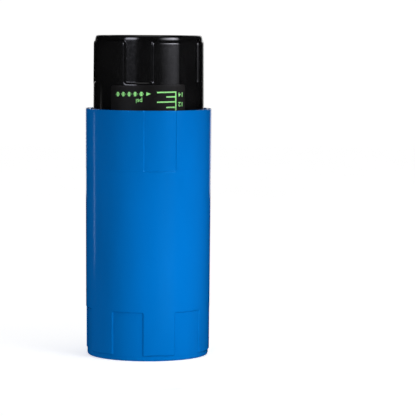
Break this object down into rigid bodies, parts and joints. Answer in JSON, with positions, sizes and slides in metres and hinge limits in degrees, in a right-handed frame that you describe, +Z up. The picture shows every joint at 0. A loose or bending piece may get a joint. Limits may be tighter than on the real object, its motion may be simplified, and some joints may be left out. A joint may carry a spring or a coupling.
{
  "type": "tennis ball can",
  "caption": "Screw-down tennis ball pressure can: a tall outer sleeve with foot grips, and an inner cup with a pressure scale that screws down into it.",
  "frame": {"origin": "centre of the sleeve's foot, on the surface that the can stands on", "axes": "+Z up along the can's axis and the screw's axis, -Y towards the label with the pressure scale"},
  "size_m": [0.089, 0.0889, 0.226],
  "materials": {
    "blue_plastic": "glossy injection-moulded bright blue plastic",
    "black_plastic": "high-gloss black injection-moulded plastic",
    "label_print": "satin brown-black film label with a pale green printed scale",
    "black_rubber": "lightly greased black nitrile rubber"
  },
  "bodies": {
    "sleeve": {"outer_sleeve": "blue_plastic"},
    "seal": {"seal_ring": "black_rubber"},
    "cup": {"inner_cup": "black_plastic", "scale_label": "label_print"}
  },
  "joints": [
    {"name": "cup_travel", "type": "slide", "parent": "sleeve", "child": "seal", "axis": [0, 0, 1], "range_m": [-0.01221, 0.16201]},
    {"name": "cup_turn", "type": "hinge", "parent": "seal", "child": "cup", "pos_m": [0, 0, 0.1], "axis": [0, 0, 1], "range_deg": [-274.5, 3645]}
  ],
  "couplings": [
    {"joint": "cup_travel", "follows": "cup_turn", "m_per_rad": 0.0025465}
  ]
}
